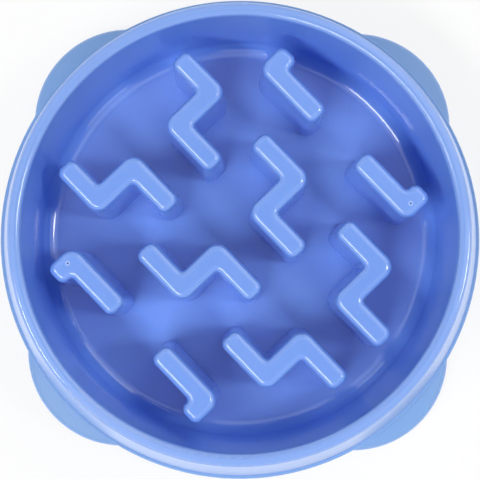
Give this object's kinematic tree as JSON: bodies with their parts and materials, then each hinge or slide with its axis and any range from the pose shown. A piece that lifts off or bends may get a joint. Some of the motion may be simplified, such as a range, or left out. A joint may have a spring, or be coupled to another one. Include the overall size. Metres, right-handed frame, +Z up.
{
  "type": "slow feeder bowl",
  "caption": "Round moulded slow feeder bowl with a zigzag maze of ridges on its floor, a flat rim, a flared wall with low foot lobes and push-in rubber feet.",
  "frame": {"origin": "on the bowl's axis, on the plane of the feet that it stands on", "axes": "+Z is up along the bowl's axis; +X runs along the maze ridges, towards a foot lobe, and the maze mirrors across the XZ plane; +Y points to the next lobe"},
  "size_m": [0.315, 0.315, 0.066],
  "materials": {
    "bowl_plastic": "glossy periwinkle-blue moulded plastic",
    "foot_rubber": "matt dark grey rubber"
  },
  "bodies": {
    "root": {"bowl": "bowl_plastic", "foot_right": "foot_rubber", "foot_back": "foot_rubber", "foot_left": "foot_rubber", "foot_front": "foot_rubber"}
  },
  "joints": []
}
